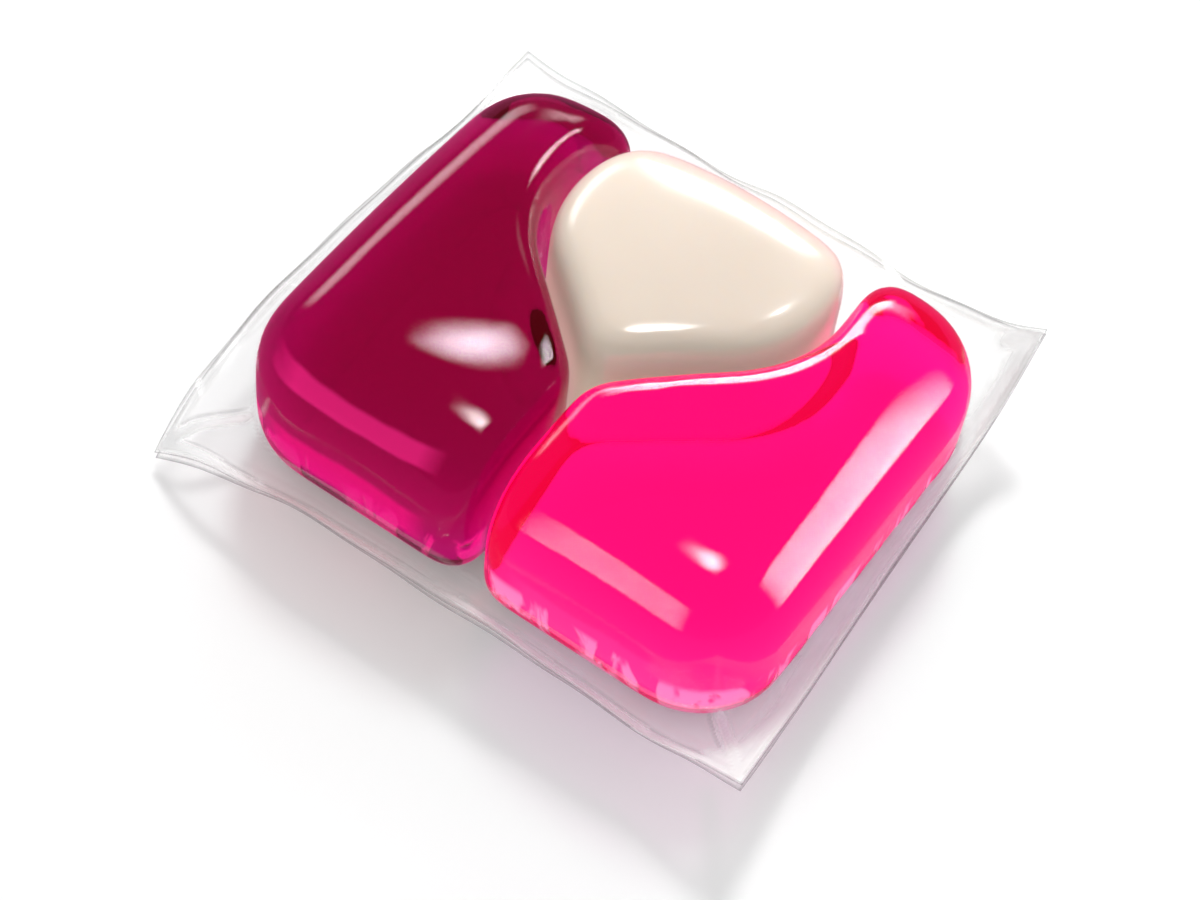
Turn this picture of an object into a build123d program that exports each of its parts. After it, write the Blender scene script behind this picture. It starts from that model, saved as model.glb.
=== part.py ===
"""Laundry capsule: three gel chambers held between a formed film and a sealing film."""
import os
from math import cos, hypot, radians, sin, sqrt, tan

from build123d import *

# Chambers, in millimetres: the three together fill one rounded block
chamber_length = 46.0    # along X
chamber_depth = 37.8     # along Y
pocket_height = 10.3     # gel above the seal, before the tops swell
bulge_depth = 4.4        # gel below the seal, where the sealing film is pushed out
corner_radius = 7.2      # the block's corners, seen from above
shoulder_radius = 7.0    # round from the walls to the top
bulge_radius = 4.0       # round from the walls to the underside
valley_radius = 2.5      # round where a chamber turns down to its neighbour

# Swollen tops
crown = 1.2              # rise at the middle of each top
crown_radius = 45.0      # along X
crown_length_radius = 170.0  # along Y

# Seal between neighbouring chambers
seal_gap = 0.9
tip_offset = 5.0         # the middle chamber's tip, in front of the middle of the block
tip_radius = 2.8
flank_angle = 40.0       # the middle chamber's flanks, in degrees from X
flank_radius = 11.0      # where the flanks turn towards the back
middle_share = 0.513     # of the block's length: the middle chamber with half the seal on each side
hip_radius = 12.0        # the middle chamber's back corners
right_lobe_radius = 24.0  # the side chambers' lobes, which lean in beside the back corners
left_lobe_radius = 16.0
crotch_radius = 4.0      # the side chambers' corners at the tip

# Film
film = 0.1               # thickness of one layer
film_length = 53.0       # between the corners, along X
film_depth = 46.6        # between the corners, along Y
film_waist = 0.7         # how far the cut edges bow in
film_corner_radius = 1.2
seal_land = 0.7          # flat seal around the block
flange_tilt = 30.0       # the film outside the land leans up, in degrees

half_length = chamber_length / 2
middle_width = middle_share * chamber_length
half_depth = chamber_depth / 2
seal_level = film + bulge_depth
gel_height = bulge_depth + pocket_height
past_back = half_depth + seal_land   # plans are drawn a little past the block's back wall

# Centre of the flank's arc, with the flank tangent to it and running down to the tip
flank = radians(flank_angle)
arc_x = middle_width / 2 - flank_radius
arc_y = -tip_offset + flank_radius * cos(flank) + (arc_x + flank_radius * sin(flank)) * tan(flank)


def divider(shift, back_radius):
    """Points along one side of the seal, moved right by shift: tip, flank, side and back."""
    radius = flank_radius + shift
    tangent = (arc_x + radius * sin(flank), arc_y - radius * cos(flank))
    tip = (0, tangent[1] - tangent[0] * tan(flank))
    side = (arc_x + radius, arc_y)
    sweep = past_back - arc_y
    back = (side[0] - back_radius - shift + sqrt((back_radius + shift) ** 2 - sweep**2), past_back)
    return tip, tangent, side, back


def middle_plan(grow):
    """The middle chamber from above, drawn past the block's back wall."""
    shift = grow - seal_gap / 2
    tip, tangent, side, back = divider(shift, hip_radius)
    with BuildSketch() as plan:
        with BuildLine():
            Line(tip, tangent)
            RadiusArc(tangent, side, -flank_radius - shift)
            RadiusArc(side, back, -hip_radius - shift)
            Line(back, (0, past_back))
            mirror(about=Plane.YZ)
        make_face()
        fillet(plan.vertices().sort_by(Axis.Y)[0], tip_radius + grow)
    return plan.sketch


def side_plan(grow, lobe_radius):
    """A right-hand chamber from above, drawn past the block's outer walls."""
    shift = seal_gap / 2 - grow
    tip, tangent, side, back = divider(shift, lobe_radius)
    foot = (shift, tip[1] + shift * tan(flank))
    with BuildSketch() as plan:
        with BuildLine():
            Line(foot, tangent)
            RadiusArc(tangent, side, -flank_radius - shift)
            RadiusArc(side, back, -lobe_radius - shift)
            Polyline(
                back,
                (chamber_length, past_back),
                (chamber_length, -chamber_depth),
                (shift, -chamber_depth),
                foot,
            )
        make_face()
        fillet(plan.vertices().sort_by_distance(foot)[0], crotch_radius + grow)
    return plan.sketch


def block(grow, crown_x, crown_y, reach):
    """The block within reach of one chamber, moved out by grow, with its top swollen there."""
    with BuildPart() as rounded:
        with BuildSketch(Plane.XY.offset(film - grow)):
            RectangleRounded(
                chamber_length + 2 * grow, chamber_depth + 2 * grow, corner_radius + grow
            )
            with Locations((crown_x, 0)):
                Rectangle(2 * reach, 2 * chamber_depth, mode=Mode.INTERSECT)
        extrude(amount=gel_height + crown + 2 * grow)
        with Locations((crown_x, crown_y, film + gel_height + crown - crown_length_radius)):
            Torus(
                crown_length_radius - crown_radius,
                crown_radius + grow,
                rotation=(0, 90, 0),
                mode=Mode.INTERSECT,
            )
        for end, radius in ((-1, shoulder_radius), (0, bulge_radius)):
            rim = rounded.faces().sort_by(Axis.Z)[end].edges().filter_by(
                lambda edge: abs(edge.center().X) > half_length - corner_radius
                or abs(edge.center().Y) > half_depth - corner_radius
            )
            fillet(rim, radius + grow)
    return rounded.part


def chamber(plan, grow, *crown_place):
    """One chamber: the block inside a plan, rounded where it turns down to its neighbours."""
    with BuildPart() as pillow:
        add(block(grow, *crown_place))
        with BuildSketch(Plane.XY.offset(-gel_height)):
            add(plan)
        extrude(amount=3 * gel_height, mode=Mode.INTERSECT)
        corner_x = half_length - corner_radius
        corner_y = half_depth + grow - film / 2
        inner_walls = pillow.faces().filter_by(
            lambda face: abs(face.normal_at().Z) < 0.001
            and abs(face.center().X) < corner_x
            and abs(face.center().Y) < corner_y
        )
        rims = inner_walls.edges().filter_by(
            lambda edge: abs(edge.tangent_at(0.5).Z) < 0.999 or abs(edge.center().Y) > corner_y
        )
        fillet(rims, valley_radius + grow)
    return pillow.part


def middle_chamber(grow):
    reach = half_length - corner_radius - seal_land
    return chamber(middle_plan(grow), grow, 0, (half_depth - tip_offset / 2) / 2, reach)


def side_chamber(grow, lobe_radius):
    reach = half_length / 2 + seal_land
    return chamber(side_plan(grow, lobe_radius), grow, half_length / 2, 0, reach)


def film_sheet(lift):
    """The film's cut outline, dished up outside the seal land, from lift upwards."""
    reach = hypot(film_length, film_depth) / 2
    rise = reach * tan(radians(flange_tilt))
    with BuildPart() as dish:
        for out, height in ((seal_land, 0), (seal_land + reach, rise)):
            with BuildSketch(Plane.XY.offset(seal_level + lift + height)):
                RectangleRounded(
                    chamber_length + 2 * out, chamber_depth + 2 * out, corner_radius + out
                )
        loft(ruled=True)
        with BuildSketch() as outline:
            with BuildLine():
                x, y = film_length / 2, film_depth / 2
                ThreePointArc((-x, -y), (0, film_waist - y), (x, -y))
                ThreePointArc((x, -y), (x - film_waist, 0), (x, y))
                ThreePointArc((x, y), (0, y - film_waist), (-x, y))
                ThreePointArc((-x, y), (film_waist - x, 0), (-x, -y))
            make_face()
            fillet(outline.vertices(), film_corner_radius)
        extrude(amount=2 * (seal_level + rise), mode=Mode.INTERSECT)
    return dish.part


os.makedirs("parts", exist_ok=True)

# Gels: the middle chamber, and two side chambers that are both drawn on the right
with BuildPart() as cream_gel:
    add(middle_chamber(0))
cream_gel.part.label = "cream_gel"

with BuildPart() as pink_gel:
    add(side_chamber(0, right_lobe_radius))
pink_gel.part.label = "pink_gel"

with BuildPart() as magenta_gel:
    add(side_chamber(0, left_lobe_radius))
    mirror(about=Plane.YZ, mode=Mode.REPLACE)
magenta_gel.part.label = "magenta_gel"

gels = (cream_gel.part, pink_gel.part, magenta_gel.part)

# Outside of the film over each gel
with BuildPart() as left_cover:
    add(side_chamber(film, left_lobe_radius))
    mirror(about=Plane.YZ, mode=Mode.REPLACE)

with BuildPart() as covers:
    add(middle_chamber(film))
    add(side_chamber(film, right_lobe_radius))
    add(left_cover.part)

seal_plane = Plane.XY.offset(seal_level)

# Formed film: the upper layer of the flange and the pockets above the seal
with BuildPart() as pocket_film:
    add(film_sheet(0))
    add(film_sheet(film), mode=Mode.SUBTRACT)
    add(split(covers.part, bisect_by=seal_plane, keep=Keep.TOP, mode=Mode.PRIVATE))
    add(gels, mode=Mode.SUBTRACT)
pocket_film.part.label = "pocket_film"

# Sealing film: the lower layer of the flange and the bulges below the seal
with BuildPart() as lid_film:
    add(film_sheet(-film))
    add(film_sheet(0), mode=Mode.SUBTRACT)
    add(split(covers.part, bisect_by=seal_plane, keep=Keep.BOTTOM, mode=Mode.PRIVATE))
    add(gels, mode=Mode.SUBTRACT)
lid_film.part.label = "lid_film"

for piece in (pocket_film, lid_film, magenta_gel, cream_gel, pink_gel):
    export_step(piece.part, f"parts/{piece.part.label}.step")
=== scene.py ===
"""Laundry capsule on a white table: three gels held between two clear films."""
from math import cos, pi, radians, sin, tan

import bpy
import numpy as np
from mathutils import Matrix, Vector
from mathutils.bvhtree import BVHTree


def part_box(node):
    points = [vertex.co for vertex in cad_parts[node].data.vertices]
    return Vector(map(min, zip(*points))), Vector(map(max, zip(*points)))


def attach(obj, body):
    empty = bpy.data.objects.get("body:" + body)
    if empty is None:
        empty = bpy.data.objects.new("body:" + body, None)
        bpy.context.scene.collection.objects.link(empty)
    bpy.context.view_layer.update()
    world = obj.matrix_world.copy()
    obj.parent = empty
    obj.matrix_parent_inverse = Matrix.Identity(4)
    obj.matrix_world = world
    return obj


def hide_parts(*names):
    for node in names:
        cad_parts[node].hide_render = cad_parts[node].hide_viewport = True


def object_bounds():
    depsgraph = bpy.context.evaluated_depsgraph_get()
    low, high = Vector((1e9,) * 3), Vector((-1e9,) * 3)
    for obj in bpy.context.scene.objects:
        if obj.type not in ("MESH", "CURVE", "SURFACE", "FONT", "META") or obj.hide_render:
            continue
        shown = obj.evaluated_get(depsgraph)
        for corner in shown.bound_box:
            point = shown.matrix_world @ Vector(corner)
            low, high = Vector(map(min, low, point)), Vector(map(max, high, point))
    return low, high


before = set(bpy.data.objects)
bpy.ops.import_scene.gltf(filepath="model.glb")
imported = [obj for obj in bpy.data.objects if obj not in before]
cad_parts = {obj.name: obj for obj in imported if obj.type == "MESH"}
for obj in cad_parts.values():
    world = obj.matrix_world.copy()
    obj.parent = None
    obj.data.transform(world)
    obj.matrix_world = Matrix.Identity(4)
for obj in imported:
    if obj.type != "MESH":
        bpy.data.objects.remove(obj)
cad_low, cad_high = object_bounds()

MM = 0.001

# Photograph: the camera that puts the chambers' outline where it is in the picture
IMAGE_WIDTH = 1200
FOCAL_PIXELS = 2689
SENSOR = 36.0
CAMERA_ELEVATION = 53.9
CAMERA_AZIMUTH = 28.5
CAMERA_ROLL = 8.0
CAMERA_DISTANCE = 204 * MM
CAMERA_TARGET = Vector((1.0, -2.8, 2.7)) * MM

# Gels
GEL_GRAIN = 0.4 * MM      # spacing of the points on a gel's skin
GEL_EASE = {"magenta_gel": 40, "cream_gel": 62, "pink_gel": 40}   # smoothing passes
GRIP = 1.5 * MM           # how wide a gel's skin is held where it is drawn out
CREAM_MIDDLE = Vector((0.0, 8.0)) * MM
CREAM_SWELL = Vector((0.0, 0.0, 0.6)) * MM   # how much fuller the cream gel stands
CREAM_REACH = 14 * MM
LOBE_TIP = Vector((-10.8, 17.3)) * MM        # of the magenta gel, which reaches round the cream one
LOBE_PULL = Vector((0.6, 0.2, 0.0)) * MM
LOBE_REACH = 4 * MM
GEL_IOR = 1.22
LONG_PATH = 2.5           # bounces of light, past which a clear gel shows a painted glow of its own colour

# Films
FILM = 0.08 * MM          # thickness of one layer
FILM_GAP = 0.04 * MM      # between a gel and its film
SEAL = 4.5 * MM           # height of the seal
SEAL_LAND = 0.7 * MM      # flat seal around the block of chambers
FILM_STEP = 0.25 * MM     # spacing of the points on the flange
FLANGE_TILT = 30.0
FLANGE_SOFT = 0.9 * MM    # how gently the flange turns up
FLANGE_EDGE = FILM_GAP + 0.7 * FILM          # where the flange is set into the film over a gel
EARS = {                  # corners of the film: side of X, side of Y, and place
    (-1, -1): Vector((-25.8, -22.9, 1.3)) * MM,
    (-1, 1): Vector((-25.2, 23.6, 7.5)) * MM,
    (1, 1): Vector((23.8, 23.6, 8.6)) * MM,
    (1, -1): Vector((26.3, -22.7, 6.5)) * MM,
}
EAR_SPREAD = 4            # higher keeps an ear's droop or lift nearer the corner
EAR_ROOT = 2 * MM         # inside the block's corner, where the painted glint and shade of an ear's folds start
BOW_LEFT = -1.0 * MM      # how far the middle of each cut edge stands off its chord
BOW_RIGHT = -0.2 * MM
BOW_FRONT = 0.1 * MM
BOW_BACK = 0.2 * MM
LOOSE = 3 * MM            # past the land, where the film hangs loose
RIPPLE = 0.25 * MM
RIPPLE_HOLD = 8           # higher keeps the ripples nearer the cut edge
RIPPLES_X = ((0.6, 2.9 * MM, 0.8), (0.4, 1.37 * MM, 2.0))   # share, length over 2 pi, and skew
RIPPLES_Y = ((0.6, 3.3 * MM, 1.3), (0.4, 1.51 * MM, -1.0))
LAYER_GAP = 0.22 * MM     # how far a layer stands off where the two part
WELD_GAP = 0.03 * MM      # between a layer and the plane of the seal
FILM_FOLD = 50.0          # a sharper edge of the film isn't shaded smooth, in degrees

# The block of chambers and the film, measured on the frame
gel_boxes = [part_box(f"{colour}_gel") for colour in ("magenta", "cream", "pink")]
BLOCK_X = max(high.x for low, high in gel_boxes)
BLOCK_Y = max(high.y for low, high in gel_boxes)
BLOCK_CORNER = 7.2 * MM
FILM_X = (cad_high.x - cad_low.x) / 2
FILM_Y = (cad_high.y - cad_low.y) / 2

# Heights on the gels, and the places of the film's gathers and of the light painted in them
WALL_TO_TOP = (8 * MM, 13.5 * MM)      # where a clear gel's wall colour, painted paler as for a shorter path of light, turns into its top colour
CREAM_GLOW = (9 * MM, 17.5 * MM)       # where the light painted low on the cream gel's walls fades out
# The film's gathers dent a clear gel, and pale glints are painted on them
GATHER_GRAIN = 420                     # of the noise that breaks the film's gathers into patches
GATHER_STRETCH = (1, 1, 0.35)          # makes the patches tall
GATHER_SHARE = (0.47, 0.56)            # of the noise, from bare wall to full patch
GATHER_FOOT = (1.8 * MM, 2.1 * MM)
GATHER_HEAD = (5.6 * MM, 6.6 * MM)
GATHER_INSET = 2.6 * MM                # how far in from the block's outside the gathers reach
GATHER_BACK = (14 * MM, 7 * MM)        # along Y, where the side walls' gathers fade out
# Bands of light painted on a clear gel's front wall, low by the seal and high on its shoulder
SEAL_BAND = {"Start": 4.9 * MM, "End": 7.2 * MM, "Edge": 0.8 * MM, "Waver": 1.2 * MM}
SHOULDER_BAND = {"Start": 11.8 * MM, "End": 12.9 * MM, "Edge": 0.35 * MM, "Waver": 0.5 * MM}
FRONT_WALL = -13 * MM                  # along Y
FRONT_WALL_ENDS = ((3.5 * MM, 5.5 * MM), (19.5 * MM, 16.5 * MM))   # off the middle, along X

# Room and table
ROOM_LIGHT = 0.64
ROOM_IN_MIRROR = 0.06
ROOM_THROUGH_GEL = 0.9
TABLE_WHITE = (0.86, 0.86, 0.86)
TABLE_GLOW = 0.17
# Painted light: the table glows brighter seen through the gels, and shows pink in their mirrors, in
# place of light the gels would bring to it
TABLE_THROUGH_GEL = 0.82
TABLE_IN_MIRROR = (0.55, 0.11, 0.26)


# Modelling helpers

def select_only(piece):
    bpy.ops.object.select_all(action="DESELECT")
    piece.select_set(True)
    bpy.context.view_layer.objects.active = piece


def apply_modifier(piece, kind, **settings):
    select_only(piece)
    modifier = piece.modifiers.new(kind.title(), kind)
    for name, value in settings.items():
        setattr(modifier, name, value)
    bpy.ops.object.modifier_apply(modifier=modifier.name)


def own_copy(source, name):
    copy = source.copy()
    copy.data = source.data.copy()
    copy.parent = None
    copy.name = copy.data.name = name
    for key in list(copy.keys()):
        del copy[key]
    bpy.context.scene.collection.objects.link(copy)
    return copy


def points_of(piece):
    places = np.empty(len(piece.data.vertices) * 3)
    piece.data.vertices.foreach_get("co", places)
    return places.reshape(-1, 3)


def put_points(piece, places):
    piece.data.vertices.foreach_set("co", places.ravel())
    piece.data.update()


def pick_points(piece, chosen):
    """Selects the points marked in chosen, and leaves the piece in edit mode."""
    select_only(piece)
    bpy.ops.object.mode_set(mode="EDIT")
    bpy.ops.mesh.select_mode(type="VERT")
    bpy.ops.mesh.select_all(action="DESELECT")
    bpy.ops.object.mode_set(mode="OBJECT")
    piece.data.vertices.foreach_set("select", chosen)
    bpy.ops.object.mode_set(mode="EDIT")


def pick_all_points(piece):
    pick_points(piece, np.ones(len(piece.data.vertices), dtype=bool))


def join(pieces, name):
    select_only(pieces[0])
    for piece in pieces[1:]:
        piece.select_set(True)
    bpy.ops.object.join()
    pieces[0].name = pieces[0].data.name = name
    return pieces[0]


# Gels

def gel(node, ease):
    """A gel on its solid, with a smooth skin."""
    body = own_copy(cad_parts[node], f"{node}_body")
    pick_all_points(body)
    bpy.ops.mesh.remove_doubles(threshold=0.001 * MM)
    bpy.ops.object.mode_set(mode="OBJECT")
    apply_modifier(body, "REMESH", mode="VOXEL", voxel_size=GEL_GRAIN)
    apply_modifier(body, "SMOOTH", factor=0.5, iterations=ease)
    select_only(body)
    bpy.ops.object.shade_smooth()
    return body


def draw_out(body, place, pull, reach):
    """Draws the skin above the seal out around one place, as with proportional editing."""
    places = points_of(body)
    across = np.hypot(places[:, 0] - place.x, places[:, 1] - place.y)
    pick_points(body, (across < GRIP) & (places[:, 2] > SEAL))
    bpy.ops.transform.translate(
        value=pull, use_proportional_edit=True,
        proportional_edit_falloff="SMOOTH", proportional_size=reach,
    )
    bpy.ops.object.mode_set(mode="OBJECT")


# Films

def skin(body, name, upper):
    """The film over one gel, above or below the seal."""
    cover = own_copy(body, name)
    apply_modifier(cover, "DISPLACE", mid_level=0.0, strength=FILM_GAP)
    pick_all_points(cover)
    bpy.ops.mesh.bisect(
        plane_co=(0, 0, SEAL), plane_no=(0, 0, 1), clear_inner=upper, clear_outer=not upper
    )
    bpy.ops.object.mode_set(mode="OBJECT")
    apply_modifier(cover, "SOLIDIFY", thickness=FILM, offset=1.0)
    paint(cover, wet_film)
    return cover


def block_distance(x, y):
    """How far a point is outside the block of chambers, seen from above."""
    across = np.abs(x) - (BLOCK_X - BLOCK_CORNER)
    along = np.abs(y) - (BLOCK_Y - BLOCK_CORNER)
    outside = np.hypot(np.maximum(across, 0), np.maximum(along, 0))
    return outside + np.minimum(np.maximum(across, along), 0) - BLOCK_CORNER


def looseness(x, y, most):
    """0 on the seal, 1 where the film hangs loose, and up to most beyond."""
    return np.clip((block_distance(x, y) - SEAL_LAND) / LOOSE, 0, most)


def turn_up(out):
    """Height of the flange by the distance outside the seal."""
    out = np.maximum(out - SEAL_LAND, 0)
    return tan(radians(FLANGE_TILT)) * (np.sqrt(out**2 + FLANGE_SOFT**2) - FLANGE_SOFT)


def ripples(along, across, waves):
    return sum(share * np.sin(along / length + skew * across) for share, length, skew in waves)


def flange_lift(x, y, u, v):
    """Height of the film above the seal, with its ears and its ripples."""
    lift = turn_up(block_distance(x, y))
    for (across, along), ear in EARS.items():
        change = ear.z - SEAL - turn_up(block_distance(ear.x, ear.y))
        near = np.maximum(across * u, 0) * np.maximum(along * v, 0)
        lift += change * near**EAR_SPREAD
    front_back = np.abs(v) ** RIPPLE_HOLD * ripples(x, v, RIPPLES_X)
    sides = np.abs(u) ** RIPPLE_HOLD * ripples(y, u, RIPPLES_Y)
    return lift + RIPPLE * looseness(x, y, 1.4) ** 1.5 * (front_back + sides)


def layer_gap(x, y, side):
    """How far one layer stands off the seal's plane, most at the cut edge."""
    apart = 0.5 + 0.5 * np.sin(x / (4.1 * MM) + y / (3.7 * MM) + 0.6)
    return side * (WELD_GAP + LAYER_GAP * looseness(x, y, 1.3) ** 2 * apart)


def line(strength, distance, place, width):
    return strength * np.exp(-(((distance - place) / width) ** 2))


def fade_in(value, start, length):
    return np.clip((value - start) / length, 0, 1)


def glint_and_shade_lines(x, y, u, v, side):
    """Lines painted on the film: above 0 for painted glints, below 0 for grey lines at the cut edge and
    painted shade beside the rolled edge and folds.
    """
    from_side, from_end = (1 - np.abs(u)) * FILM_X, (1 - np.abs(v)) * FILM_Y
    inward = np.minimum(from_side, from_end)
    along = np.where(from_side < from_end, y, x)
    wander = 0.3 * MM * np.sin(along / (5.3 * MM) + side) + 0.08 * MM * np.sin(along / (1.9 * MM))
    swing = np.sin(along / (5.1 * MM) + 2 * side) * np.sin(along / (3.3 * MM) - side)
    come_and_go = 0.5 + 0.5 * swing
    front_right = np.clip(fade_in(-v, 0.9, 0.06) + fade_in(u, 0.9, 0.06), 0, 1)

    # Both layers: a painted glint beside the cut edge, which is grey
    bright = line(0.25, inward, 0.5 * MM, 0.2 * MM) * come_and_go
    grey = line(0.32 + 0.05 * front_right, inward, 0.05 * MM, 0.14 * MM)

    # Upper layer: painted glints and shade of a rolled edge in front and on the right, and a painted
    # glint on a rim around the gels
    if side > 0:
        roll = 0.55 * MM + wander
        bright += line(0.85, inward, roll, 0.34 * MM) * front_right * (0.25 + 0.75 * come_and_go)
        bright += line(0.3, inward, 2.0 * MM - wander, 0.5 * MM) * front_right * (1 - come_and_go)
        bright += line(0.15, block_distance(x, y), 0.2 * MM, 0.16 * MM)
        bright += line(0.45, inward, 1.5 * MM + wander, 0.7 * MM) * fade_in(u, 0.85, 0.05)
        grey += line(0.04 + 0.14 * front_right, inward, roll + 0.6 * MM, 0.16 * MM)

        # Its two front ears get a painted glint and shade along a fold from the tip to the block
        for (across, end), ear in EARS.items():
            if end > 0:
                continue
            way = ear.xy - Vector((across * (BLOCK_X - EAR_ROOT), end * (BLOCK_Y - EAR_ROOT)))
            reach = way.length
            way.normalize()
            ahead = (ear.x - x) * way.x + (ear.y - y) * way.y
            aside = (ear.x - x) * way.y - (ear.y - y) * way.x
            span = fade_in(ahead, 0, 0.8 * MM) * fade_in(reach - ahead, 0, MM)
            bright += span * line(0.85, aside, 0, 0.38 * MM)
            bright += span * line(0.4, aside, 1.0 * MM, 0.5 * MM) * fade_in(3 * MM - ahead, 0, 3 * MM)
            grey += span * line(0.16, aside, -0.75 * MM, 0.18 * MM)
    return np.clip(np.where(bright > grey, bright, -grey), -0.6, 0.85)


def flange(name, bodies, upper):
    """One layer of the film outside and between the gels."""
    columns = round(2 * FILM_X / FILM_STEP)
    rows = round(2 * FILM_Y / FILM_STEP)
    bpy.ops.object.select_all(action="DESELECT")
    bpy.ops.mesh.primitive_grid_add(x_subdivisions=columns, y_subdivisions=rows, size=2)
    sheet = bpy.context.object
    sheet.name = sheet.data.name = name

    # The grid is stretched between the ears, and its edges are bowed
    places = points_of(sheet)
    u, v = places[:, 0].copy(), places[:, 1].copy()
    x, y = np.zeros_like(u), np.zeros_like(v)
    for (across, along), ear in EARS.items():
        share = (1 + across * u) * (1 + along * v) / 4
        x += share * ear.x
        y += share * ear.y
    x += (1 - v**2) * ((1 - u) / 2 * BOW_LEFT + (1 + u) / 2 * BOW_RIGHT)
    y += (1 - u**2) * ((1 - v) / 2 * BOW_FRONT + (1 + v) / 2 * BOW_BACK)
    put_points(sheet, np.column_stack([x, y, np.full_like(x, SEAL)]))
    store = sheet.data.attributes.new("across", "FLOAT2", "POINT")
    store.data.foreach_set("vector", np.column_stack([u, v]).astype(np.float32).ravel())

    # The film inside the gels' outlines is cut out
    walls = [BVHTree.FromObject(body, bpy.context.evaluated_depsgraph_get()) for body in bodies]

    def wall_at(place):
        """How far inside the nearest wall a place is, and the way out."""
        hits = [wall.find_nearest(place) for wall in walls]
        return max(((near - place).dot(way), tuple(way)) for near, way, face, reach in hits)

    inside = np.zeros(len(places), dtype=bool)
    for index in np.nonzero(block_distance(x, y) < 0)[0]:
        inside[index] = wall_at(Vector((x[index], y[index], SEAL)))[0] > 0
    pick_points(sheet, inside)
    bpy.ops.mesh.select_mode(type="FACE")
    bpy.ops.mesh.delete(type="FACE")
    bpy.ops.object.mode_set(mode="OBJECT")

    # Its new edge is set into the skins over the gels
    places = points_of(sheet)
    for index in np.nonzero(block_distance(places[:, 0], places[:, 1]) < FILM_STEP)[0]:
        for attempt in range(3):
            depth, way = wall_at(Vector(places[index]))
            out = Vector((way[0], way[1]))
            if depth > -FLANGE_EDGE and out.length > 0.1:
                places[index, :2] += np.array(out.normalized()) * (depth + FLANGE_EDGE)

    # Lifted, given its painted glint and shade lines and its thickness
    x, y = places[:, 0], places[:, 1]
    uv = np.empty(len(places) * 2, np.float32)
    sheet.data.attributes["across"].data.foreach_get("vector", uv)
    u, v = uv.reshape(-1, 2).T.astype(float)
    sheet.data.attributes.remove(sheet.data.attributes["across"])
    side = 1 if upper else -1
    places[:, 2] = SEAL + flange_lift(x, y, u, v) + layer_gap(x, y, side)
    put_points(sheet, places)
    lines = sheet.data.attributes.new("painted_line", "FLOAT", "POINT")
    lines.data.foreach_set("value", glint_and_shade_lines(x, y, u, v, side).astype(np.float32))
    apply_modifier(sheet, "SOLIDIFY", thickness=FILM, offset=float(side))
    paint(sheet, free_film)
    return sheet


def film(name, bodies, upper):
    covers = [skin(body, f"{name}_{index}", upper) for index, body in enumerate(bodies)]
    whole = join([flange(name, bodies, upper)] + covers, name)
    select_only(whole)
    bpy.ops.object.shade_smooth_by_angle(angle=radians(FILM_FOLD))
    return whole


# Material helpers

def put(tree, socket, value):
    """Gives a socket a value, or joins another node's output to it."""
    if isinstance(value, bpy.types.NodeSocket):
        tree.links.new(value, socket)
    elif socket.type == "RGBA":
        socket.default_value = (*value, 1)
    else:
        socket.default_value = value


def add(tree, kind, **values):
    """A new node, with values or other nodes' outputs for its sockets."""
    node = tree.nodes.new(f"ShaderNode{kind}")
    for name, value in values.items():
        put(tree, node.inputs[name.replace("_", " ")], value)
    return node


def math(tree, operation, *values, clamp=False):
    node = tree.nodes.new("ShaderNodeMath")
    node.operation = operation
    node.use_clamp = clamp
    for socket, value in zip(node.inputs, values):
        put(tree, socket, value)
    return node.outputs[0]


def rise(tree, value, start, end, ease="SMOOTHSTEP"):
    """Goes from 0 to 1 as a value goes from start to end."""
    node = add(tree, "MapRange", Value=value, From_Min=start, From_Max=end)
    node.interpolation_type = ease
    return node.outputs["Result"]


def blend(tree, share, low, high):
    """A colour between two others."""
    node = tree.nodes.new("ShaderNodeMix")
    node.data_type = "RGBA"
    for index, value in ((0, share), (6, low), (7, high)):
        put(tree, node.inputs[index], value)
    return node.outputs[2]


def mix_shaders(tree, share, first, second):
    node = tree.nodes.new("ShaderNodeMixShader")
    for socket, value in zip(node.inputs, (share, first, second)):
        put(tree, socket, value)
    return node.outputs["Shader"]


def spot(tree):
    """The place on the piece, in metres."""
    return add(tree, "TexCoord").outputs["Object"]


def axes(tree):
    """X, Y and Z of the place on the piece."""
    return add(tree, "SeparateXYZ", Vector=spot(tree)).outputs


def noise(tree, place, scale, detail=2.0, distortion=0.0):
    node = add(tree, "TexNoise", Vector=place, Scale=scale, Detail=detail, Distortion=distortion)
    return node.outputs["Fac"]


def new_group(name, inputs, outputs):
    """A shader node group with named sockets, as the group, what it is given and what it puts out."""
    group = bpy.data.node_groups.new(name, "ShaderNodeTree")
    for way, sockets in (("INPUT", inputs), ("OUTPUT", outputs)):
        for socket, kind in sockets.items():
            group.interface.new_socket(socket, in_out=way, socket_type=f"NodeSocket{kind}")
    given = group.nodes.new("NodeGroupInput").outputs
    result = group.nodes.new("NodeGroupOutput").inputs
    return group, given, result


def use(tree, group, **values):
    """Places a group in a material or in another group, and gives its outputs."""
    node = tree.nodes.new("ShaderNodeGroup")
    node.node_tree = group
    for name, value in values.items():
        put(tree, node.inputs[name], value)
    return node.outputs


def new_material(name):
    made = bpy.data.materials.new(name)
    made.use_nodes = True
    made.node_tree.nodes.clear()
    made.cycles.emission_sampling = "NONE"   # its glow is too weak to be sampled as a lamp
    return made, made.node_tree


def paint(piece, material):
    piece.data.materials.clear()
    piece.data.materials.append(material)


# Effects that materials share

def drift_group():
    """A colour that drifts over the piece between two others."""
    group, given, result = new_group(
        "colour drift", {"Scale": "Float", "Low": "Color", "High": "Color"}, {"Colour": "Color"}
    )
    share = noise(group, spot(group), given["Scale"])
    put(group, result["Colour"], blend(group, share, given["Low"], given["High"]))
    return group


def height_group():
    """Goes from 0 to 1 between two heights on the piece."""
    group, given, result = new_group("height", {"Start": "Float", "End": "Float"}, {"Mask": "Float"})
    put(group, result["Mask"], rise(group, axes(group)["Z"], given["Start"], given["End"]))
    return group


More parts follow.
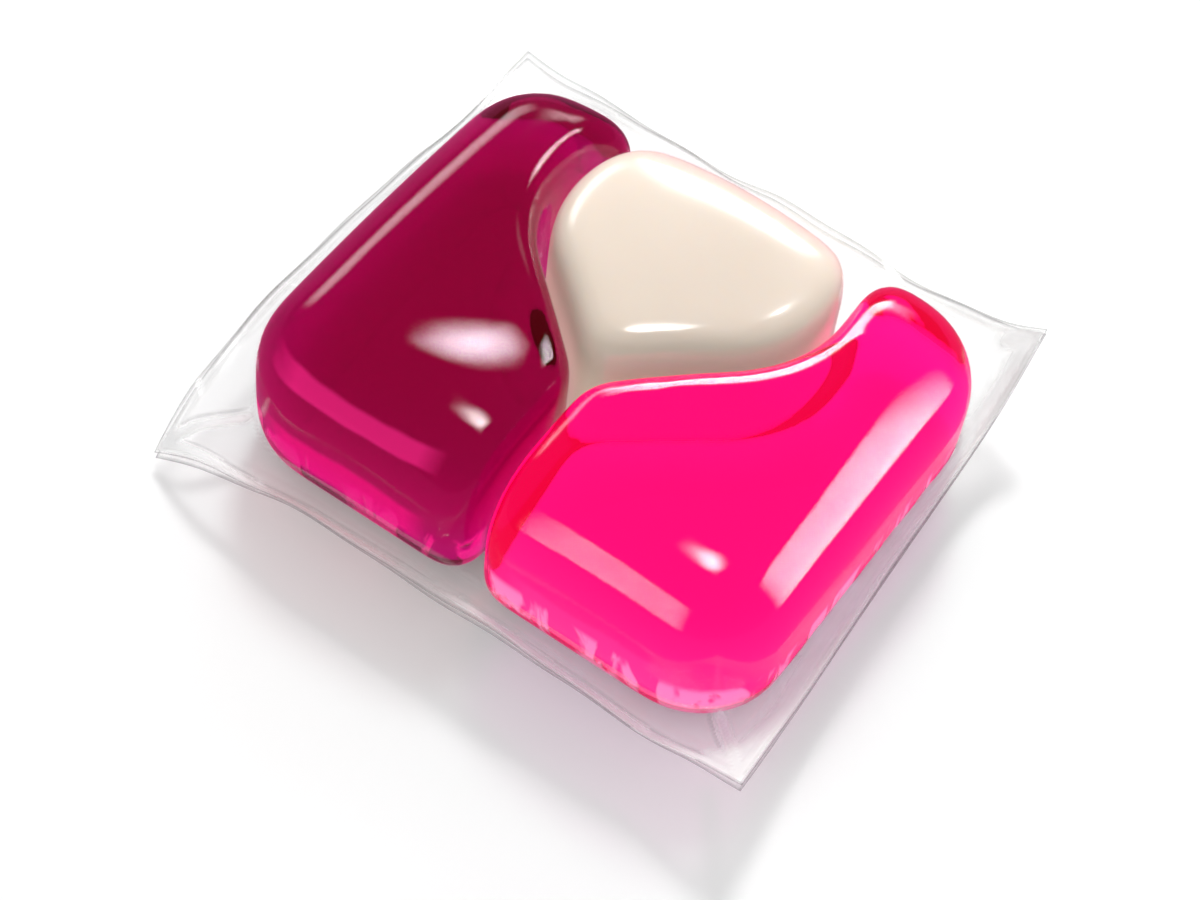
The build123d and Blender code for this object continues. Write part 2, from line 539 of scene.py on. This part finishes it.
def gathers_group():
    """Patches low on the front and side walls, where the film gathers into its seal; they dent a clear
    gel, and pale glints are painted on them.
    """
    group, given, result = new_group("film gathers", {}, {"Mask": "Float"})
    squash = group.nodes.new("ShaderNodeVectorMath")
    squash.operation = "MULTIPLY"
    put(group, squash.inputs[0], spot(group))
    put(group, squash.inputs[1], GATHER_STRETCH)
    grain = noise(group, squash.outputs[0], GATHER_GRAIN, detail=3, distortion=0.6)
    patches = rise(group, grain, *GATHER_SHARE)

    above = use(group, height, Start=GATHER_FOOT[0], End=GATHER_FOOT[1])["Mask"]
    over = use(group, height, Start=GATHER_HEAD[0], End=GATHER_HEAD[1])["Mask"]
    band = math(group, "MULTIPLY", above, math(group, "SUBTRACT", 1, over))

    place = axes(group)
    side_wall, front_wall = BLOCK_X - GATHER_INSET, GATHER_INSET - BLOCK_Y
    sides = math(
        group, "MULTIPLY",
        rise(group, math(group, "ABSOLUTE", place["X"]), side_wall - MM, side_wall),
        rise(group, place["Y"], *GATHER_BACK),
    )
    walls = math(group, "MAXIMUM", sides, rise(group, place["Y"], front_wall + MM, front_wall))
    put(group, result["Mask"], math(group, "MULTIPLY", patches, math(group, "MULTIPLY", band, walls)))
    return group


def light_band_group():
    """1 between two heights on the front wall, with wavering edges, where a band of light is painted.
    """
    group, given, result = new_group(
        "light band", dict.fromkeys(("Start", "End", "Edge", "Waver"), "Float"), {"Mask": "Float"}
    )
    place = axes(group)
    sway = math(group, "SUBTRACT", noise(group, spot(group), 200), 0.5)
    level = math(group, "MULTIPLY_ADD", sway, given["Waver"], place["Z"])
    foot = math(group, "SUBTRACT", given["Start"], given["Edge"])
    head = math(group, "ADD", given["End"], given["Edge"])
    mask = math(
        group, "MULTIPLY",
        rise(group, level, foot, given["Start"]), rise(group, level, head, given["End"]),
    )
    mask = math(group, "MULTIPLY", mask, math(group, "LESS_THAN", place["Y"], FRONT_WALL))
    off_middle = math(group, "ABSOLUTE", place["X"])
    for start, end in FRONT_WALL_ENDS:
        mask = math(group, "MULTIPLY", mask, rise(group, off_middle, start, end, ease="LINEAR"))
    put(group, result["Mask"], mask)
    return group


def glint_line_group():
    """Painted white glints and grey lines on the film, from the lines stored on its points."""
    group, given, result = new_group(
        "film creases", {}, {"Strength": "Float", "Lined": "Float", "Colour": "Color"}
    )
    painted_line = group.nodes.new("ShaderNodeAttribute")
    painted_line.attribute_name = "painted_line"
    strength = math(group, "ABSOLUTE", painted_line.outputs["Fac"], clamp=True)
    lit = math(group, "GREATER_THAN", painted_line.outputs["Fac"], 0)
    put(group, result["Strength"], strength)
    put(group, result["Lined"], math(group, "MULTIPLY", strength, 15, clamp=True))
    put(group, result["Colour"], blend(group, lit, (0.3, 0.29, 0.3), (1.0, 1.0, 1.0)))
    return group


# Materials

def clear_gel(name, top, wall, pale, absorb, density, tint, long_path_glow, painted_shoulder_light, low, painted_gather_glint):
    """A clear gel, painted deeper in colour on top than low on its walls, as for a longer path of
    light, with painted bands of light and glints on the film's gathers.
    """
    made, tree = new_material(name)
    gathers_and_glints = use(tree, gathers)["Mask"]
    deeper = use(tree, drift, Scale=60, Low=tuple(0.9 * part for part in top), High=top)["Colour"]
    up = use(tree, height, Start=WALL_TO_TOP[0], End=WALL_TO_TOP[1])["Mask"]
    # Painted light: walls paler than the top, and pale glints where the film gathers
    body = blend(tree, gathers_and_glints, blend(tree, up, wall, deeper), pale)
    # Painted light, as emission: bands on the front wall and glints on the film's gathers
    painted_light = blend(tree, use(tree, light_band, **SEAL_BAND)["Mask"], (0.0, 0.0, 0.0), low)
    painted_light = blend(tree, use(tree, light_band, **SHOULDER_BAND)["Mask"], painted_light, painted_shoulder_light)
    painted_light = blend(tree, gathers_and_glints, painted_light, painted_gather_glint)
    dent = add(tree, "Bump", Strength=0.6, Distance=0.25 * MM, Height=gathers_and_glints)
    shader = add(
        tree, "BsdfPrincipled", Base_Color=body, Emission_Color=painted_light, Emission_Strength=1.0,
        Normal=dent.outputs["Normal"], Roughness=0.0, IOR=GEL_IOR, Transmission_Weight=1.0,
    )

    # A painted glow of its own colour where a light path in it gets long, and a tinted shadow
    ray = add(tree, "LightPath").outputs
    deep = math(tree, "GREATER_THAN", ray["Ray Depth"], LONG_PATH)
    glow = add(tree, "Emission", Color=long_path_glow).outputs["Emission"]
    passing = add(tree, "BsdfTransparent", Color=tint).outputs["BSDF"]
    inner = mix_shaders(tree, deep, shader.outputs["BSDF"], glow)
    soak = add(tree, "VolumeAbsorption", Color=absorb, Density=density).outputs["Volume"]
    add(
        tree, "OutputMaterial", Volume=soak,
        Surface=mix_shaders(tree, ray["Is Shadow Ray"], inner, passing),
    )
    return made


def opaque_gel(name, pale, deep, low, through):
    """An opaque gel with a weak glow of painted light low on its walls, and a paler painted glow where
    it is seen through a clear gel.
    """
    made, tree = new_material(name)
    up = use(tree, height, Start=CREAM_GLOW[0], End=CREAM_GLOW[1])["Mask"]
    shader = add(
        tree, "BsdfPrincipled", Base_Color=use(tree, drift, Scale=90, Low=pale, High=deep)["Colour"],
        Roughness=0.22, IOR=1.4, Subsurface_Weight=0.4, Subsurface_Radius=(1.0, 0.8, 0.6),
        Subsurface_Scale=1.0 * MM, Coat_Weight=0.3, Coat_Roughness=0.05,
        Emission_Color=blend(tree, up, low, (0.0, 0.0, 0.0)), Emission_Strength=1.0,
    )
    glow = add(tree, "Emission", Color=through).outputs["Emission"]
    behind_gel = add(tree, "LightPath").outputs["Is Transmission Ray"]
    add(tree, "OutputMaterial", Surface=mix_shaders(tree, behind_gel, shader.outputs["BSDF"], glow))
    return made


def clear_film(name, head_on, edge_on, shade):
    """Clear film: a mirror, faint head on and stronger edge on, with painted white glints and grey
    lines.
    """
    made, tree = new_material(name)
    lines = use(tree, glint_lines)
    clear = use(tree, drift, Scale=200, Low=(0.97, 0.97, 0.98), High=(1, 1, 1))["Colour"]
    steep = math(tree, "POWER", add(tree, "LayerWeight").outputs["Facing"], 5)
    mirror = math(tree, "MULTIPLY_ADD", steep, edge_on - head_on, head_on)
    seen = math(tree, "ADD", mirror, lines["Strength"], clamp=True)
    in_shadow = add(tree, "LightPath").outputs["Is Shadow Ray"]
    shader = add(
        tree, "BsdfPrincipled", Base_Color=blend(tree, lines["Lined"], clear, lines["Colour"]),
        Roughness=0.0, Metallic=math(tree, "SUBTRACT", 1, lines["Lined"]),
        Alpha=math(tree, "MULTIPLY_ADD", in_shadow, shade, seen, clamp=True),
    )
    add(tree, "OutputMaterial", Surface=shader.outputs["BSDF"])
    return made


drift = drift_group()
height = height_group()
gathers = gathers_group()
light_band = light_band_group()
glint_lines = glint_line_group()

# Painted light in the clear gels: a glow for long paths, bands on the front wall and glints on the
# gathers
magenta_gel = clear_gel(
    "magenta gel", top=(0.3, 0.001, 0.18), wall=(0.45, 0.002, 0.24), pale=(0.7, 0.01, 0.35),
    absorb=(0.72, 0.0, 0.055), density=110, tint=(0.52, 0.38, 0.42), long_path_glow=(0.35, 0.003, 0.16),
    painted_shoulder_light=(0.38, 0.012, 0.11), low=(0.35, 0.0, 0.07), painted_gather_glint=(0.3, 0.008, 0.08),
)
pink_gel = clear_gel(
    "pink gel", top=(1.0, 0.014, 0.21), wall=(1.0, 0.05, 0.27), pale=(1.0, 0.55, 0.5),
    absorb=(0.99, 0.0, 0.85), density=120, tint=(0.6, 0.53, 0.55), long_path_glow=(1.0, 0.07, 0.22),
    painted_shoulder_light=(0.0, 0.0, 0.0), low=(0.1, 0.015, 0.04), painted_gather_glint=(0.1, 0.16, 0.2),
)
# Painted light on the cream gel: low on its walls, and a glow where it is seen through a clear gel
cream_gel = opaque_gel(
    "cream gel", pale=(0.84, 0.72, 0.61), deep=(0.88, 0.77, 0.67),
    low=(0.45, 0.36, 0.28), through=(0.75, 0.5, 0.45),
)
free_film = clear_film("clear film", head_on=0.012, edge_on=0.35, shade=0.05)
wet_film = clear_film("clear film against gel", head_on=0.012, edge_on=0.08, shade=0.0)

# Pieces
gels = {node: gel(node, ease) for node, ease in GEL_EASE.items()}
draw_out(gels["magenta_gel"], LOBE_TIP, LOBE_PULL, LOBE_REACH)
draw_out(gels["cream_gel"], CREAM_MIDDLE, CREAM_SWELL, CREAM_REACH)
paint(gels["magenta_gel"], magenta_gel)
paint(gels["pink_gel"], pink_gel)
paint(gels["cream_gel"], cream_gel)

bodies = list(gels.values())
pocket_film = film("pocket_film_clear", bodies, upper=True)
lid_film = film("lid_film_clear", bodies, upper=False)

for node, body in gels.items():
    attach(body, "root")
    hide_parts(node)
for sheet, node, slot in (
    (pocket_film, "pocket_film", "formed_film"), (lid_film, "lid_film", "sealing_film")
):
    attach(sheet, "root")
    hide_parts(node)


# Table, lights and camera

def table():
    """A white table, painted brighter where seen through the gels and pink in their mirrors, in place
    of light the gels would bring to it.
    """
    bpy.ops.object.select_all(action="DESELECT")
    bpy.ops.mesh.primitive_plane_add(size=4)
    floor = bpy.context.object
    floor.name = "table"
    made, tree = new_material("white table")
    ray = add(tree, "LightPath").outputs
    through_gel = ray["Is Transmission Ray"]
    strength = math(tree, "MULTIPLY_ADD", through_gel, TABLE_THROUGH_GEL, TABLE_GLOW)
    white = add(tree, "BsdfDiffuse", Color=TABLE_WHITE).outputs["BSDF"]
    glow = add(tree, "Emission", Color=(1, 1, 1), Strength=strength).outputs["Emission"]
    lit = tree.nodes.new("ShaderNodeAddShader")
    put(tree, lit.inputs[0], white)
    put(tree, lit.inputs[1], glow)
    # The pink in the gels' mirrors is a painted reflection
    tinted = add(tree, "Emission", Color=TABLE_IN_MIRROR).outputs["Emission"]
    in_mirror = math(tree, "SUBTRACT", ray["Is Glossy Ray"], through_gel, clamp=True)
    add(tree, "OutputMaterial", Surface=mix_shaders(tree, in_mirror, lit.outputs["Shader"], tinted))
    paint(floor, made)


def softbox(name, place, aim, width, height, radiance, lights=True, shines=True, soft=0.35, only=None):
    """A lamp panel whose brightness fades towards its edges, for all pieces or only one."""
    lamp = bpy.data.lights.new(name, "AREA")
    lamp.shape = "RECTANGLE"
    lamp.size, lamp.size_y = width, height
    lamp.energy = radiance * pi * width * height
    lamp.use_nodes = True
    tree = lamp.node_tree
    panel = add(tree, "SeparateXYZ", Vector=add(tree, "NewGeometry").outputs["Parametric"]).outputs
    edges = [
        rise(tree, math(tree, "PINGPONG", panel[axis], 0.5), 0, fading)
        for axis, fading in (("X", max(soft, 0.3)), ("Y", soft))
    ]
    put(tree, tree.nodes["Emission"].inputs["Strength"], math(tree, "MULTIPLY", *edges))
    box = bpy.data.objects.new(name, lamp)
    box.location = place
    box.rotation_mode = "QUATERNION"
    box.rotation_quaternion = (Vector(aim) - Vector(place)).to_track_quat("-Z", "Y")
    box.visible_diffuse = lights
    box.visible_glossy = shines
    box.visible_transmission = False
    bpy.context.scene.collection.objects.link(box)
    if only:
        lit = bpy.data.collections.new(f"{name} lights")
        lit.objects.link(only)
        box.light_linking.receiver_collection = lit


def far(x, y, z, distance):
    return Vector((x, y, z)).normalized() * distance


table()
MIDDLE = (0, 0, 8 * MM)
softbox("key", far(-0.30, 0.60, 0.75, 0.6), MIDDLE, 0.17, 0.17, 48, shines=False)
softbox("right panel", Vector((66, 27, 27)) * MM, Vector((21, 0, 11)) * MM,
        50 * MM, 48 * MM, 36, lights=False, soft=0.1, only=gels["pink_gel"])
softbox("front panel", Vector((1, -70, 30)) * MM, Vector((12, -17, 12)) * MM,
        66 * MM, 36 * MM, 18, lights=False, soft=0.1, only=gels["pink_gel"])
softbox("concave panel", far(-0.46, 0.76, 0.40, 0.5), MIDDLE, 0.34, 0.2, 40,
        lights=False, soft=0.15, only=gels["pink_gel"])
softbox("cream spot", far(0.32, 0.52, 0.8, 0.5), MIDDLE, 0.06, 0.06, 90,
        lights=False, soft=0.5, only=gels["cream_gel"])
softbox("sliver lamp", far(0.25, 0.68, 0.68, 0.4), MIDDLE, 0.1, 0.22, 40,
        lights=False, soft=0.3, only=gels["magenta_gel"])
softbox("left strip", far(-0.8, 0.5, 0.3, 0.5), MIDDLE, 0.40, 0.15, 5, lights=False)
softbox("back softbox", far(-0.28, 0.85, 0.45, 0.6), MIDDLE, 0.40, 0.25, 5)
softbox("cream window", far(-0.28, 0.9, 0.33, 0.6), MIDDLE, 0.45, 0.3, 14,
        lights=False, soft=0.15, only=gels["cream_gel"])
softbox("top lamp", far(0.10, 0.0, 0.99, 0.5), MIDDLE, 0.22, 0.22, 30, lights=False, soft=0.5)
softbox("crescent lamp", Vector((-16, 12.5, 60)) * MM, Vector((-8.3, -9, 15.6)) * MM,
        30 * MM, 9 * MM, 90, lights=False, soft=0.5, only=gels["magenta_gel"])

world = bpy.data.worlds.new("room")
bpy.context.scene.world = world
world.use_nodes = True
room = world.node_tree
ray = add(room, "LightPath").outputs
seen = add(room, "Mix", Factor=ray["Is Glossy Ray"], A=ROOM_LIGHT, B=ROOM_IN_MIRROR).outputs["Result"]
seen = add(room, "Mix", Factor=ray["Is Transmission Ray"], A=seen, B=ROOM_THROUGH_GEL).outputs["Result"]
put(room, room.nodes["Background"].inputs["Color"], (1, 1, 1))
put(room, room.nodes["Background"].inputs["Strength"], seen)

lens = bpy.data.cameras.new("camera")
lens.sensor_fit = "HORIZONTAL"
lens.sensor_width = SENSOR
lens.lens = FOCAL_PIXELS / IMAGE_WIDTH * SENSOR
lens.clip_start = 0.01
camera = bpy.data.objects.new("camera", lens)
bpy.context.scene.collection.objects.link(camera)
elevation, azimuth, roll = map(radians, (CAMERA_ELEVATION, CAMERA_AZIMUTH, CAMERA_ROLL))
back = Vector((sin(azimuth) * cos(elevation), -cos(azimuth) * cos(elevation), sin(elevation)))
level = Vector((cos(azimuth), sin(azimuth), 0))
upright = back.cross(level)
right = level * cos(roll) + upright * sin(roll)
up = upright * cos(roll) - level * sin(roll)
turn = Matrix((right, up, back)).transposed()
camera.matrix_world = Matrix.Translation(CAMERA_TARGET + back * CAMERA_DISTANCE) @ turn.to_4x4()
bpy.context.scene.camera = camera

scene = bpy.context.scene
scene.view_settings.view_transform = "Standard"
scene.cycles.max_bounces = 24
scene.cycles.transmission_bounces = 24
scene.cycles.glossy_bounces = 12
scene.cycles.transparent_max_bounces = 24
scene.cycles.caustics_refractive = False
scene.cycles.caustics_reflective = False
